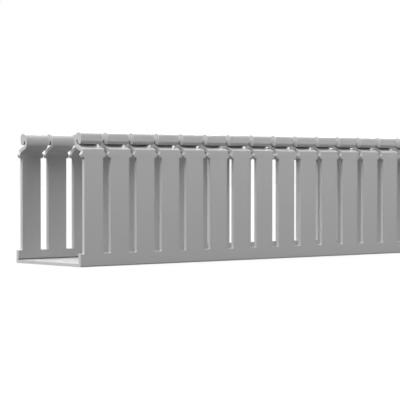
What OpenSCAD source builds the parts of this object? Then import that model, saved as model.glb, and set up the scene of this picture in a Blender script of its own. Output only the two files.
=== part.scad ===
// Slotted wire duct: one length of open-slot trunking without its cover.
// Millimetres, +Z up. Length along X, width along Y, underside of the floor at Z = 0,
// origin at the middle of the underside.

/* [Channel] */
// Length of the stock, cut through the middle of a slot at each end
duct_l = 1000; // [200:12.5:2000]
// Width over the two side walls
duct_w = 42; // [30:1:120]
// Height over the lips
duct_h = 50.6; // [30:0.1:120]
// Thickness of the side walls, also of the shoulders that lean inwards
wall_t = 1.5; // [1:0.05:2]
// Thickness of the floor
floor_t = 1.2; // [0.8:0.05:2]
// Outer radius where a wall meets the underside
edge_r = 0.5; // [0.2:0.05:1]
// Height of the score line at the foot of each wall, where the wall can be broken off
score_h = 0.6; // [0.3:0.05:0.8]
// Depth of the score line
score_d = 0.45; // [0.2:0.05:0.6]

/* [Slots] */
// Distance from one slot to the next
slot_pitch = 12.5; // [10:0.5:25]
// Width of a slot between two fingers
slot_w = 3.65; // [3:0.05:6]
// Height of the closed strip under the slots
strip_h = 5; // [3:0.5:12]
// Radius in the corners of a slot
slot_r = 0.25; // [0.1:0.05:0.8]
// Gap left between the heads of two fingers
neck_gap = 0.9; // [0.4:0.05:1.2]
// Width of the flat underside of a head, out from the edge of the finger
head_flat = 1; // [0.6:0.05:1.2]
// Height of the steep bevel under the tip of a head
jaw_h = 0.95; // [0.4:0.05:1.5]
// Height of the blunt tip of a head
tip_h = 0.15; // [0.1:0.05:1]
// Height of the bevel from the tip of a head up to the lip
bevel_h = 1.15; // [0.4:0.05:1.5]
// Gap between the lips of two fingers
lip_gap = 2.4; // [1.8:0.1:4]
// Depth of the corner between bevel and lip below the outer edge of the shoulder
head_drop = 0.9; // [0.2:0.05:1.5]

/* [Lips] */
// Height of the lips above the outer edge of the shoulder
lip_h = 6.3; // [6:0.1:9]
// Slope of the shoulder that carries the web
shoulder_slope = 24; // [15:1:30]
// Distance from the outer face of the wall in to the web
web_in = 4.2; // [4:0.1:6]
// Thickness of the web
web_t = 1.2; // [0.8:0.05:1.6]
// Distance from the outer face of the wall in to the catch
catch_in = 1.2; // [0.6:0.1:1.4]
// Thickness of the catch that holds the cover
catch_t = 2.35; // [1.8:0.05:2.5]
// Height of the catch
catch_h = 4.4; // [4:0.1:4.5]
// Height of the bevel along the outer lower edge of the catch
catch_bevel_h = 1.1; // [0.5:0.1:1.5]
// Width of that bevel
catch_bevel_w = 0.5; // [0.2:0.05:0.7]
// Depth of the groove between catch and web
groove_h = 1.45; // [0.8:0.05:1.6]
// Radius of the inner top edge of a lip
crown_r = 2.5; // [1:0.1:2.8]
// Radius of the outer top edge of a lip
top_r = 1.4; // [0.3:0.1:1.5]
// Radius of the inner lower edge of the catch
catch_r = 1.2; // [0.3:0.05:1.3]
// Radius where the shoulder turns up into the web, measured on its upper face
root_r = 0.9; // [0.4:0.1:1.5]

/* [Fixing holes] */
// Bore of the screw holes in the floor
hole_d = 4.5; // [3:0.1:8]
// Distance between screw holes
hole_pitch = 50; // [20:2.5:100]
// Distance from the end to the first screw hole
hole_start = 10; // [5:0.5:40]

/* [Hidden] */
// how far a cutter stands out of what it cuts
over = 1;
shoulder_z = duct_h - lip_h;
catch_z = duct_h - catch_h;
// heads: underside at head_z, tip from neck_z to tip_z, lips from lip_z up
lip_z = shoulder_z - head_drop;
tip_z = lip_z - bevel_h;
neck_z = tip_z - tip_h;
head_z = neck_z - jaw_h;
slot_n = floor(duct_l / slot_pitch);
spare = duct_l - slot_n * slot_pitch;
hole_n = floor((duct_l - 2 * hole_start) / hole_pitch) + 1;
duct_colour = "#b4b5b6";

// a corner [x, y, radius, flats] between its neighbours p and q, as points on its arc
function corner(p, c, q) =
    let (
        a = [c[0] - p[0], c[1] - p[1]],
        b = [q[0] - c[0], q[1] - c[1]],
        turn = atan2(a[0] * b[1] - a[1] * b[0], a[0] * b[0] + a[1] * b[1]),
        room = 0.48 * min(norm(a), norm(b)) / max(tan(abs(turn) / 2), 0.001),
        r = min(c[2], room),
        start = [c[0], c[1]] - r * tan(abs(turn) / 2) * a / norm(a),
        spoke = sign(turn) * r * [a[1], -a[0]] / norm(a),
        n = c[3]
    )
    r < 0.01 ? [[c[0], c[1]]] :
    [for (k = [0:n]) let (w = turn * k / n)
        start - spoke + [spoke[0] * cos(w) - spoke[1] * sin(w), spoke[0] * sin(w) + spoke[1] * cos(w)]];

// a closed outline from corners [x, y, radius, flats]
function rounded(path) =
    let (n = len(path))
    [for (i = [0:n - 1]) each corner(path[(i + n - 1) % n], path[i], path[(i + 1) % n])];

// upper and lower face of the shoulder, u mm in from the outer face of the wall
function shoulder_top(u) = shoulder_z + u * tan(shoulder_slope);
function shoulder_under(u) = shoulder_top(u) - wall_t / cos(shoulder_slope);

// one wall with its lip, from the underside up the outer face and down the inner one
function wall_path() = let (inner = web_in + web_t) [
    [0, 0, edge_r, 2],
    [0, shoulder_z, 0, 1],
    [web_in, shoulder_top(web_in), root_r, 1],
    [web_in, catch_z + groove_h, 0, 1],
    [catch_in + catch_t, catch_z + groove_h, 0, 1],
    [catch_in + catch_t, catch_z, catch_r, 2],
    [catch_in + catch_bevel_w, catch_z, 0, 1],
    [catch_in, catch_z + catch_bevel_h, 0, 1],
    [catch_in, duct_h, top_r, 2],
    [inner, duct_h, crown_r, 3],
    [inner, shoulder_under(inner), root_r + web_t, 2],
    [wall_t, shoulder_under(wall_t), 0, 1],
    [wall_t, floor_t + score_h, 0, 1],
    [wall_t - score_d, floor_t + score_h / 2, 0, 1],
    [wall_t, floor_t, 0, 1]
];

// the whole section, open side up: one wall, the floor, and the wall mirrored
function section_path() = let (w = wall_path(), n = len(w)) concat(
    [for (p = w) [p[0] - duct_w / 2, p[1], p[2], p[3]]],
    [for (p = [for (i = [n - 1:-1:0]) w[i]]) [duct_w / 2 - p[0], p[1], p[2], p[3]]]
);

// one side of a slot from the strip to above the lips, half the width out from its middle
function slot_side() = [
    [slot_w / 2, strip_h, slot_r, 1],
    [slot_w / 2, head_z, slot_r, 1],
    [slot_w / 2 - head_flat, head_z, 0, 1],
    [neck_gap / 2, neck_z, 0, 1],
    [neck_gap / 2, tip_z, 0, 1],
    [lip_gap / 2, lip_z, 0, 1],
    [lip_gap / 2, duct_h + over, 0, 1]
];

module slot_outline() {
    s = slot_side();
    polygon(rounded(concat(s, [for (p = [for (i = [len(s) - 1:-1:0]) s[i]]) [-p[0], p[1], p[2], p[3]]])));
}

module section() {
    polygon(rounded(section_path()));
}

// cuts both walls at once
module slot_cut() {
    rotate([90, 0, 0])
        linear_extrude(height = duct_w + 2 * over, center = true)
            slot_outline();
}

// what is left of a finger outside the last slot of a length that is no whole number of pitches
module end_cut() {
    for (s = [-1, 1])
        translate([s * (duct_l - spare + duct_l) / 4 + s * over / 2, 0, (strip_h + duct_h + over) / 2])
            cube([spare / 2 + over, duct_w + 2 * over, duct_h + over - strip_h], center = true);
}

module slotted_duct() {
    color(duct_colour)
        difference() {
            rotate([90, 0, 90])
                linear_extrude(height = duct_l, center = true)
                    section();
            for (i = [0:slot_n])
                translate([(i - slot_n / 2) * slot_pitch, 0, 0])
                    slot_cut();
            if (spare > 0.01)
                end_cut();
            for (i = [0:hole_n - 1])
                translate([hole_start - duct_l / 2 + i * hole_pitch, 0, -over])
                    cylinder(h = floor_t + 2 * over, d = hole_d, $fn = 32);
        }
}

slotted_duct();
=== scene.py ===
import math

import bmesh
import bpy
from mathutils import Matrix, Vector


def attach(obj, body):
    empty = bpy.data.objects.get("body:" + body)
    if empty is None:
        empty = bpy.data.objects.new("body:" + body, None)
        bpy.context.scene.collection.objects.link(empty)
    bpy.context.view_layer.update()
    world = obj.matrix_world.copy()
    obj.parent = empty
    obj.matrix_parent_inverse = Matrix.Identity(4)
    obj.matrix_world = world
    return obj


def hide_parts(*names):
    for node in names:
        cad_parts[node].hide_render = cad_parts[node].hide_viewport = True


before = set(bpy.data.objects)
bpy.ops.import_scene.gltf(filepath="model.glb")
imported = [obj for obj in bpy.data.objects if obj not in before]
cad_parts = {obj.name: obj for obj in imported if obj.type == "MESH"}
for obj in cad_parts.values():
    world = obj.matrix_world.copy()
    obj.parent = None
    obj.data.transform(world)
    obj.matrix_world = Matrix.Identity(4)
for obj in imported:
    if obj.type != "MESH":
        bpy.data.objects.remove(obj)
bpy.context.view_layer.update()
print("frame loaded")

mm = 0.001


def linearColour(hexText):
    parts = [int(hexText[i:i + 2], 16) / 255 for i in (1, 3, 5)]
    return [p / 12.92 if p <= 0.04045 else ((p + 0.055) / 1.055) ** 2.4 for p in parts] + [1.0]


def addNode(tree, kind, settings=None, values=None, links=None):
    node = tree.nodes.new(kind)
    for key, value in (settings or {}).items():
        setattr(node, key, value)
    for key, value in (values or {}).items():
        node.inputs[key].default_value = value
    for key, source in (links or {}).items():
        tree.links.new(source, node.inputs[key])
    return node


# the duct as extruded and punched, in millimetres
duct = {
    "length": 1000.0, "width": 42.0, "height": 50.6,
    "wall": 1.5, "floor": 1.2, "edgeR": 0.5, "scoreHeight": 0.6, "scoreDepth": 0.45,
    "pitch": 12.5, "slotWidth": 3.65, "strip": 5.0, "slotR": 0.25,
    "headFlat": 1.0, "jawHeight": 0.95, "tipHeight": 0.15, "bevelHeight": 1.15,
    "neckGap": 0.9, "lipGap": 2.4, "headDrop": 0.9,
    "lipHeight": 6.3, "shoulderSlope": 24.0, "webIn": 4.2, "webThick": 1.2,
    "catchIn": 1.2, "catchThick": 2.35, "catchHeight": 4.4, "groove": 1.45,
    "catchBevelHeight": 1.1, "catchBevelWidth": 0.5,
    "crownR": 2.5, "topR": 1.4, "catchR": 1.2, "catchEdgeR": 0.3, "rootR": 0.9, "grooveR": 0.2,
    "holeD": 4.5, "holePitch": 50.0, "holeStart": 10.0, "holeSides": 32,
    "shoulderR": 0.25,
    "breakR": 0.12,    # radius that punching leaves along each cut edge
    "holeBreak": 0.3,  # middle point of that radius at a hole, as a share of it
    "flats": 5,        # flats in a quarter turn
    "slotFlats": 3,    # the same in the corners of a slot
    "sharpAngle": 50,  # degrees above which an edge shades sharp
    "weld": 0.002,     # points closer than this are one
}


# points of the arc that rounds a corner, which is given as place and radius
def arcCorner(before, corner, after, flats):
    x, z, r = corner
    a = Vector((x - before[0], z - before[1])).normalized()
    b = Vector((after[0] - x, after[1] - z)).normalized()
    turn = math.atan2(a.x * b.y - a.y * b.x, a.dot(b))
    if r < 0.01:
        return [(x, z)]
    start = Vector((x, z)) - r * math.tan(abs(turn) / 2) * a
    spoke = math.copysign(r, turn) * Vector((a.y, -a.x))
    count = max(2, round(flats * abs(turn) / (math.pi / 2)))
    points = []
    for k in range(count + 1):
        c, s = math.cos(turn * k / count), math.sin(turn * k / count)
        points.append((start.x - spoke.x + spoke.x * c - spoke.y * s,
                       start.y - spoke.y + spoke.x * s + spoke.y * c))
    return points


def roundedLine(path, flats):
    points = [path[0][:2]]
    for i in range(1, len(path) - 1):
        points += arcCorner(path[i - 1], path[i], path[i + 1], flats)
    return points + [path[-1][:2]]


# the way out of the material at each point of a line, longer at a sharp corner
def lineNormals(points):
    normals = []
    for i in range(len(points)):
        edges = []
        for p, q in ((i - 1, i), (i, i + 1)):
            if p >= 0 and q < len(points):
                v = Vector(points[q]) - Vector(points[p])
                edges.append(Vector((v.y, -v.x)).normalized())
        m = sum(edges, Vector((0, 0))).normalized()
        normals.append(m / max(0.5, m.dot(edges[0])))
    return normals


# one side of a slot from the strip up to the lips: half width and height
def slotLine(d):
    lipZ = d["height"] - d["lipHeight"] - d["headDrop"]
    tipZ = lipZ - d["bevelHeight"]
    neckZ = tipZ - d["tipHeight"]
    headZ = neckZ - d["jawHeight"]
    half, neck = d["slotWidth"] / 2, d["neckGap"] / 2
    line = roundedLine([(0, d["strip"], 0), (half, d["strip"], d["slotR"]), (half, headZ, d["slotR"]),
                        (half - d["headFlat"], headZ, 0)], d["slotFlats"])[1:]
    return line + [(neck, neckZ), (neck, tipZ), (d["lipGap"] / 2, lipZ)]


# one finger with its shoulder, web and catch: x along the duct, u in from the outer face, z up
def fingerMesh(d):
    r = d["breakR"]
    rise = math.tan(math.radians(d["shoulderSlope"]))
    shoulderZ = d["height"] - d["lipHeight"]
    drop = d["wall"] / math.cos(math.radians(d["shoulderSlope"]))
    catchZ = d["height"] - d["catchHeight"]
    inner = d["webIn"] + d["webThick"]
    catchIn, catchOut = d["catchIn"] + d["catchThick"], d["catchIn"]

    def under(u):
        return shoulderZ + u * rise - drop

    levels = slotLine(d)
    lipZ = levels[-1][1]
    leanZ = under(d["wall"])
    share = (leanZ - levels[-2][1]) / (lipZ - levels[-2][1])
    levels.insert(-1, (levels[-2][0] + share * (levels[-1][0] - levels[-2][0]), leanZ))
    slotNormals = lineNormals(levels)
    slotNormals[0] = Vector((0, -1))
    slotNormals[-1] = Vector((1, 0))
    count = len(levels)

    innerU = [d["wall"] if z <= leanZ + 1e-6 else (z - shoulderZ + drop) / rise for _, z in levels]
    lip = roundedLine([
        (0, lipZ, 0), (0, shoulderZ, d["shoulderR"]), (d["webIn"], shoulderZ + d["webIn"] * rise, d["rootR"]),
        (d["webIn"], catchZ + d["groove"], d["grooveR"]), (catchIn, catchZ + d["groove"], d["grooveR"]),
        (catchIn, catchZ, d["catchR"]), (catchOut + d["catchBevelWidth"], catchZ, d["catchEdgeR"]),
        (catchOut, catchZ + d["catchBevelHeight"], d["catchEdgeR"]), (catchOut, d["height"], d["topR"]),
        (inner, d["height"], d["crownR"]), (inner, under(inner), d["rootR"] + d["webThick"]),
        (innerU[-1], lipZ, 0)], d["flats"])
    outer = [(0, z) for _, z in levels[:-1]]
    back = [(innerU[k], levels[k][1]) for k in range(count - 2, -1, -1)]
    section = outer + lip + back
    normals = lineNormals(section)
    n = len(section)

    def slotAt(j):
        k = j if j < count else (n - 1 - j if j > n - 1 - count else count - 1)
        return levels[k], slotNormals[k]

    verts, faces, cut = [], [], []
    steps = (90, 45, 0)         # degrees round the punched edge
    across = 2 * len(steps)     # points from one side of the finger to the other
    for j in range(n):
        (half, _), away = slotAt(j)
        ring = []
        for t in steps:
            a, b = r * (1 - math.sin(math.radians(t))), r * (1 - math.cos(math.radians(t)))
            ring.append((-d["pitch"] / 2 + half + a * away.x,
                         section[j][0] + b * normals[j].x,
                         section[j][1] + a * away.y + b * normals[j].y))
        verts += ring + [(-x, u, z) for x, u, z in reversed(ring)]
    for j in range(n - 1):
        for s in range(across - 1):
            here, there = across * j + s, across * (j + 1) + s
            faces.append((here, here + 1, there + 1, there))
            cut.append(s != len(steps) - 1)
    for s in (0, across - 1):
        for k in range(count - 1):
            i = n - 1 - k
            faces.append(tuple(across * j + s for j in (k, k + 1, i - 1, i)))
            cut.append(True)
        faces.append(tuple(across * j + s for j in range(count - 1, n - count + 1)))
        cut.append(True)
    return verts, faces, cut, levels[0][0]


def ductMesh(d):
    verts, faces, cut = [], [], []

    def add(points, polygons, flags):
        start = len(verts)
        verts.extend(points)
        faces.extend(tuple(start + i for i in f) for f in polygons)
        cut.extend(flags)

    fv, ff, fc, foot = fingerMesh(d)
    fingers = int(d["length"] / d["pitch"])
    halfL, halfW = d["length"] / 2, d["width"] / 2
    for i in range(fingers):
        centre = -halfL + (i + 0.5) * d["pitch"]
        for side in (-1, 1):
            add([(x + centre, side * (halfW - u), z) for x, u, z in fv], ff, fc)

    # places along the length where the strip has a cross edge: the foot of every finger
    stations = [-halfL]
    for i in range(fingers):
        centre = -halfL + (i + 0.5) * d["pitch"]
        stations += [centre - d["pitch"] / 2 + foot, centre + d["pitch"] / 2 - foot]
    stations.append(halfL)

    r = d["breakR"]
    top = d["strip"]
    bevel = [(r * (1 - math.cos(t)), top - r * (1 - math.sin(t))) for t in (0, math.pi / 4, math.pi / 2)]
    sill = bevel + [(d["wall"] - u, z) for u, z in reversed(bevel)]
    outside = roundedLine([(0, top - r, 0), (0, 0, d["edgeR"]), (halfW, 0, 0)], d["flats"])[:-1]
    inside = [(d["wall"], top - r), (d["wall"], d["floor"] + d["scoreHeight"]),
              (d["wall"] - d["scoreDepth"], d["floor"] + d["scoreHeight"] / 2), (d["wall"], d["floor"])]
    for side in (-1, 1):
        for line, every, flag in ((outside, 1, False), (inside, 1, False), (sill, 2, True)):
            for s in range(0, len(stations) - 1, every):
                a, b = stations[s], stations[s + 1]
                points = [(x, side * (halfW - u), z) for u, z in line for x in (a, b)]
                add(points, [(2 * k, 2 * k + 1, 2 * k + 3, 2 * k + 2) for k in range(len(line) - 1)],
                    [flag] * (len(line) - 1))
    # sawn ends
    for x in (-halfL, halfL):
        left = outside[::-1] + sill[1:-1] + inside
        ring = [(x, -halfW + u, z) for u, z in left] + [(x, halfW - u, z) for u, z in reversed(left)]
        add(ring, [tuple(range(len(ring)))], [True])

    # floor round the screw holes, a stretch of it for each hole
    holeR = d["holeD"] / 2
    perHole = round(d["holePitch"] / d["pitch"]) * 2
    bm = bmesh.new()
    holes = int((d["length"] - 2 * d["holeStart"]) / d["holePitch"]) + 1
    for h in range(holes):
        first = 0 if h == 0 else h * perHole + 1
        last = len(stations) - 1 if h == holes - 1 else (h + 1) * perHole + 1
        xs = stations[first:last + 1]
        centre = -halfL + d["holeStart"] + h * d["holePitch"]
        rims = []
        for line, z, out in ((outside, 0.0, -1), (inside, d["floor"], 1)):
            y = halfW - line[-1][0]
            loop = [bm.verts.new((x, -y, z)) for x in xs] + [bm.verts.new((x, y, z)) for x in reversed(xs)]
            rings = []
            middle = d["holeBreak"] * r
            for grow, dip in ((r, 0), (middle, middle), (0, r)):
                turns = [2 * math.pi * k / d["holeSides"] for k in range(d["holeSides"])]
                rings.append([bm.verts.new((centre + (holeR + grow) * math.cos(w),
                                            (holeR + grow) * math.sin(w), z - out * dip)) for w in turns])
            edges = [bm.edges.new((ring[k - 1], ring[k]))
                     for ring in (loop, rings[0]) for k in range(len(ring))]
            bmesh.ops.triangle_fill(bm, edges=edges, use_beauty=True)
            rims.append(rings)
        chain = rims[0] + rims[1][::-1]
        for a, b in zip(chain, chain[1:]):
            for k in range(len(a)):
                bm.faces.new((a[k - 1], a[k], b[k], b[k - 1])).material_index = 1
    bm.verts.index_update()
    add([tuple(v.co) for v in bm.verts], [[v.index for v in f.verts] for f in bm.faces],
        [f.material_index == 1 for f in bm.faces])
    bm.free()

    mesh = bpy.data.meshes.new("slottedDuct")
    mesh.from_pydata([(x * mm, y * mm, z * mm) for x, y, z in verts], [], faces)
    mesh.polygons.foreach_set("material_index", [1 if c else 0 for c in cut])
    bm = bmesh.new()
    bm.from_mesh(mesh)
    bmesh.ops.remove_doubles(bm, verts=bm.verts, dist=d["weld"] * mm)
    bmesh.ops.recalc_face_normals(bm, faces=bm.faces)
    openEdges = sum(1 for e in bm.edges if len(e.link_faces) != 2)
    print("duct mesh:", len(bm.faces), "faces,", openEdges, "edges not shared by two faces")
    bm.to_mesh(mesh)
    bm.free()
    mesh.polygons.foreach_set("use_smooth", [True] * len(mesh.polygons))
    mesh.set_sharp_from_angle(angle=math.radians(d["sharpAngle"]))
    mesh.update()
    return mesh


ductBody = bpy.data.objects.new("ductBody", ductMesh(duct))
bpy.context.collection.objects.link(ductBody)
weighted = ductBody.modifiers.new("flatFaces", "WEIGHTED_NORMAL")
weighted.keep_sharp = True
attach(ductBody, "root")
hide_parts("slotted_duct")
print("duct built, triangles:", sum(len(p.vertices) - 2 for p in ductBody.data.polygons))


finish = {
    "pvc": "#a4a4a4",         # light grey pigment in rigid PVC
    "cutPvc": "#a8a8a8",      # punched and sawn faces, a shade paler
    "roughness": 0.6,
    "cutRoughness": 0.6,
    "skin": 0.3,              # share of the faint gloss that the die leaves on extruded faces
    "skinRoughness": 0.25,
    "ior": 1.53,
    "dieSpacing": 0.5, "dieLength": 50.0,        # millimetres, lines that the die leaves
    "shearSpacing": 0.4, "shearLength": 4.0,     # millimetres, marks of the punch
    "cloudSize": 30.3,                           # millimetres, patches of pigment
    "noiseLow": 0.3, "noiseHigh": 0.7,           # range that the noise mostly fills
    "toneSpread": 0.015, "cutToneSpread": 0.02, "roughnessSpread": 0.03,
    "dieBump": 0.15, "dieDepth": 0.02, "shearBump": 0.3, "shearDepth": 0.03,   # depths in millimetres
}


def extrudedPvc():
    mat = bpy.data.materials.new("extruded rigid PVC")
    mat.use_nodes = True
    tree = mat.node_tree
    tree.nodes.clear()
    where = addNode(tree, "ShaderNodeTexCoord")
    # faint lines along the length
    along, fine = 1 / (finish["dieLength"] * mm), 1 / (finish["dieSpacing"] * mm)
    stretch = addNode(tree, "ShaderNodeMapping", values={"Scale": (along, fine, fine)},
                      links={"Vector": where.outputs["Object"]})
    dieLines = addNode(tree, "ShaderNodeTexNoise", values={"Scale": 1.0, "Detail": 2.0},
                       links={"Vector": stretch.outputs["Vector"]})
    # cloudiness of the pigment
    clouds = addNode(tree, "ShaderNodeTexNoise",
                     values={"Scale": 1 / (finish["cloudSize"] * mm), "Detail": 3.0},
                     links={"Vector": where.outputs["Object"]})
    tone = addNode(tree, "ShaderNodeMapRange",
                   values={"From Min": finish["noiseLow"], "From Max": finish["noiseHigh"],
                           "To Min": 1 - finish["toneSpread"], "To Max": 1 + finish["toneSpread"]},
                   links={"Value": clouds.outputs["Fac"]})
    colour = addNode(tree, "ShaderNodeVectorMath", settings={"operation": "SCALE"},
                     values={0: linearColour(finish["pvc"])[:3]}, links={"Scale": tone.outputs["Result"]})
    shine = addNode(tree, "ShaderNodeMapRange",
                    values={"From Min": finish["noiseLow"], "From Max": finish["noiseHigh"],
                            "To Min": finish["roughness"] - finish["roughnessSpread"],
                            "To Max": finish["roughness"] + finish["roughnessSpread"]},
                    links={"Value": dieLines.outputs["Fac"]})
    relief = addNode(tree, "ShaderNodeBump",
                     values={"Strength": finish["dieBump"], "Distance": finish["dieDepth"] * mm},
                     links={"Height": dieLines.outputs["Fac"]})
    surface = addNode(tree, "ShaderNodeBsdfPrincipled",
                      values={"IOR": finish["ior"], "Metallic": 0.0, "Coat Weight": finish["skin"],
                              "Coat Roughness": finish["skinRoughness"]},
                      links={"Base Color": colour.outputs["Vector"], "Roughness": shine.outputs["Result"],
                             "Normal": relief.outputs["Normal"]})
    addNode(tree, "ShaderNodeOutputMaterial", links={"Surface": surface.outputs["BSDF"]})
    return mat


def punchedPvc():
    mat = bpy.data.materials.new("punched rigid PVC")
    mat.use_nodes = True
    tree = mat.node_tree
    tree.nodes.clear()
    where = addNode(tree, "ShaderNodeTexCoord")
    # shear marks across the wall
    along, fine = 1 / (finish["shearLength"] * mm), 1 / (finish["shearSpacing"] * mm)
    stretch = addNode(tree, "ShaderNodeMapping", values={"Scale": (fine, along, fine)},
                      links={"Vector": where.outputs["Object"]})
    marks = addNode(tree, "ShaderNodeTexNoise", values={"Scale": 1.0, "Detail": 2.0},
                    links={"Vector": stretch.outputs["Vector"]})
    tone = addNode(tree, "ShaderNodeMapRange",
                   values={"From Min": finish["noiseLow"], "From Max": finish["noiseHigh"],
                           "To Min": 1 - finish["cutToneSpread"], "To Max": 1 + finish["cutToneSpread"]},
                   links={"Value": marks.outputs["Fac"]})
    colour = addNode(tree, "ShaderNodeVectorMath", settings={"operation": "SCALE"},
                     values={0: linearColour(finish["cutPvc"])[:3]}, links={"Scale": tone.outputs["Result"]})
    relief = addNode(tree, "ShaderNodeBump",
                     values={"Strength": finish["shearBump"], "Distance": finish["shearDepth"] * mm},
                     links={"Height": marks.outputs["Fac"]})
    surface = addNode(tree, "ShaderNodeBsdfPrincipled",
                      values={"IOR": finish["ior"], "Metallic": 0.0, "Roughness": finish["cutRoughness"]},
                      links={"Base Color": colour.outputs["Vector"], "Normal": relief.outputs["Normal"]})
    addNode(tree, "ShaderNodeOutputMaterial", links={"Surface": surface.outputs["BSDF"]})
    return mat


ductBody.data.materials.append(extrudedPvc())
ductBody.data.materials.append(punchedPvc())
print("finishes made")


studio = {
    "endFrom": (-1.0, 0.0, 1.2), "endStrength": 5.1, "endAngle": 60,   # angles in degrees
    "topFrom": (0.0, 0.0, 1.0), "topStrength": 2.5, "topAngle": 60,
    "frontFrom": (0.66, -0.75, 0.07), "frontStrength": 1.25, "frontAngle": 25,
    "rearFrom": (0.76, 0.57, 0.52), "rearStrength": 1.8, "rearAngle": 25,
    "floorGrey": "#505050", "floorPale": "#5a5a5a", "floorGlow": 0.8,
    "floorSize": 6.0,      # metres
    "floorDrop": 0.02,     # millimetres below the underside of the duct
}


def seenDirectly(tree):
    path = addNode(tree, "ShaderNodeLightPath")
    seen = addNode(tree, "ShaderNodeMath", settings={"operation": "MAXIMUM"},
                   links={0: path.outputs["Is Camera Ray"], 1: path.outputs["Is Glossy Ray"]})
    return addNode(tree, "ShaderNodeMath", settings={"operation": "MAXIMUM"},
                   links={0: seen.outputs[0], 1: path.outputs["Is Transmission Ray"]})


def plainFloor():
    half = studio["floorSize"] / 2
    mesh = bpy.data.meshes.new("floorSheet")
    corners = [(-half, -half, 0), (half, -half, 0), (half, half, 0), (-half, half, 0)]
    mesh.from_pydata(corners, [], [(0, 1, 2, 3)])
    sheet = bpy.data.objects.new("floorSheet", mesh)
    sheet.location.z = -studio["floorDrop"] * mm
    bpy.context.collection.objects.link(sheet)
    mat = bpy.data.materials.new("matt white floor")
    mat.use_nodes = True
    tree = mat.node_tree
    tree.nodes.clear()
    seen = seenDirectly(tree)
    matt = addNode(tree, "ShaderNodeBsdfDiffuse", values={"Color": linearColour(studio["floorGrey"])})
    # what the camera and reflections see: white where the lamps reach, pale grey in the duct's shadow
    pale = addNode(tree, "ShaderNodeBsdfDiffuse", values={"Color": linearColour(studio["floorPale"])})
    glow = addNode(tree, "ShaderNodeEmission",
                   values={"Color": (1, 1, 1, 1), "Strength": studio["floorGlow"]})
    lit = addNode(tree, "ShaderNodeAddShader", links={0: pale.outputs[0], 1: glow.outputs[0]})
    mix = addNode(tree, "ShaderNodeMixShader",
                  links={0: seen.outputs[0], 1: matt.outputs[0], 2: lit.outputs[0]})
    addNode(tree, "ShaderNodeOutputMaterial", links={"Surface": mix.outputs[0]})
    mesh.materials.append(mat)


def paleWorld():
    world = bpy.data.worlds.new("pale studio")
    bpy.context.scene.world = world
    world.use_nodes = True
    tree = world.node_tree
    tree.nodes.clear()
    seen = seenDirectly(tree)
    dark = addNode(tree, "ShaderNodeBackground", values={"Color": (0, 0, 0, 1), "Strength": 1.0})
    white = addNode(tree, "ShaderNodeBackground", values={"Color": (1, 1, 1, 1), "Strength": 1.0})
    mix = addNode(tree, "ShaderNodeMixShader",
                  links={0: seen.outputs[0], 1: dark.outputs[0], 2: white.outputs[0]})
    addNode(tree, "ShaderNodeOutputWorld", links={"Surface": mix.outputs[0]})


def softLamp(name, direction, strength, angle):
    lamp = bpy.data.lights.new(name, "SUN")
    lamp.energy = strength
    lamp.angle = math.radians(angle)
    holder = bpy.data.objects.new(name, lamp)
    holder.rotation_euler = Vector(direction).to_track_quat("Z", "Y").to_euler()
    bpy.context.collection.objects.link(holder)


plainFloor()
paleWorld()
for side in ("end", "top", "front", "rear"):
    softLamp(side + "Lamp", studio[side + "From"], studio[side + "Strength"], studio[side + "Angle"])

shot = {
    "place": (-883.65, -535.3, 35.7),   # millimetres
    "turn": -40.71, "tilt": -0.94,      # degrees
    "lens": 154.2, "sensor": 36,        # millimetres
}
cameraData = bpy.data.cameras.new("viewCamera")
cameraData.lens = shot["lens"]
cameraData.sensor_width = shot["sensor"]
viewCamera = bpy.data.objects.new("viewCamera", cameraData)
viewCamera.location = [p * mm for p in shot["place"]]
viewCamera.rotation_euler = (math.radians(90 + shot["tilt"]), 0, math.radians(shot["turn"]))
bpy.context.collection.objects.link(viewCamera)
bpy.context.scene.camera = viewCamera
bpy.context.scene.view_settings.view_transform = "Standard"
print("studio set")
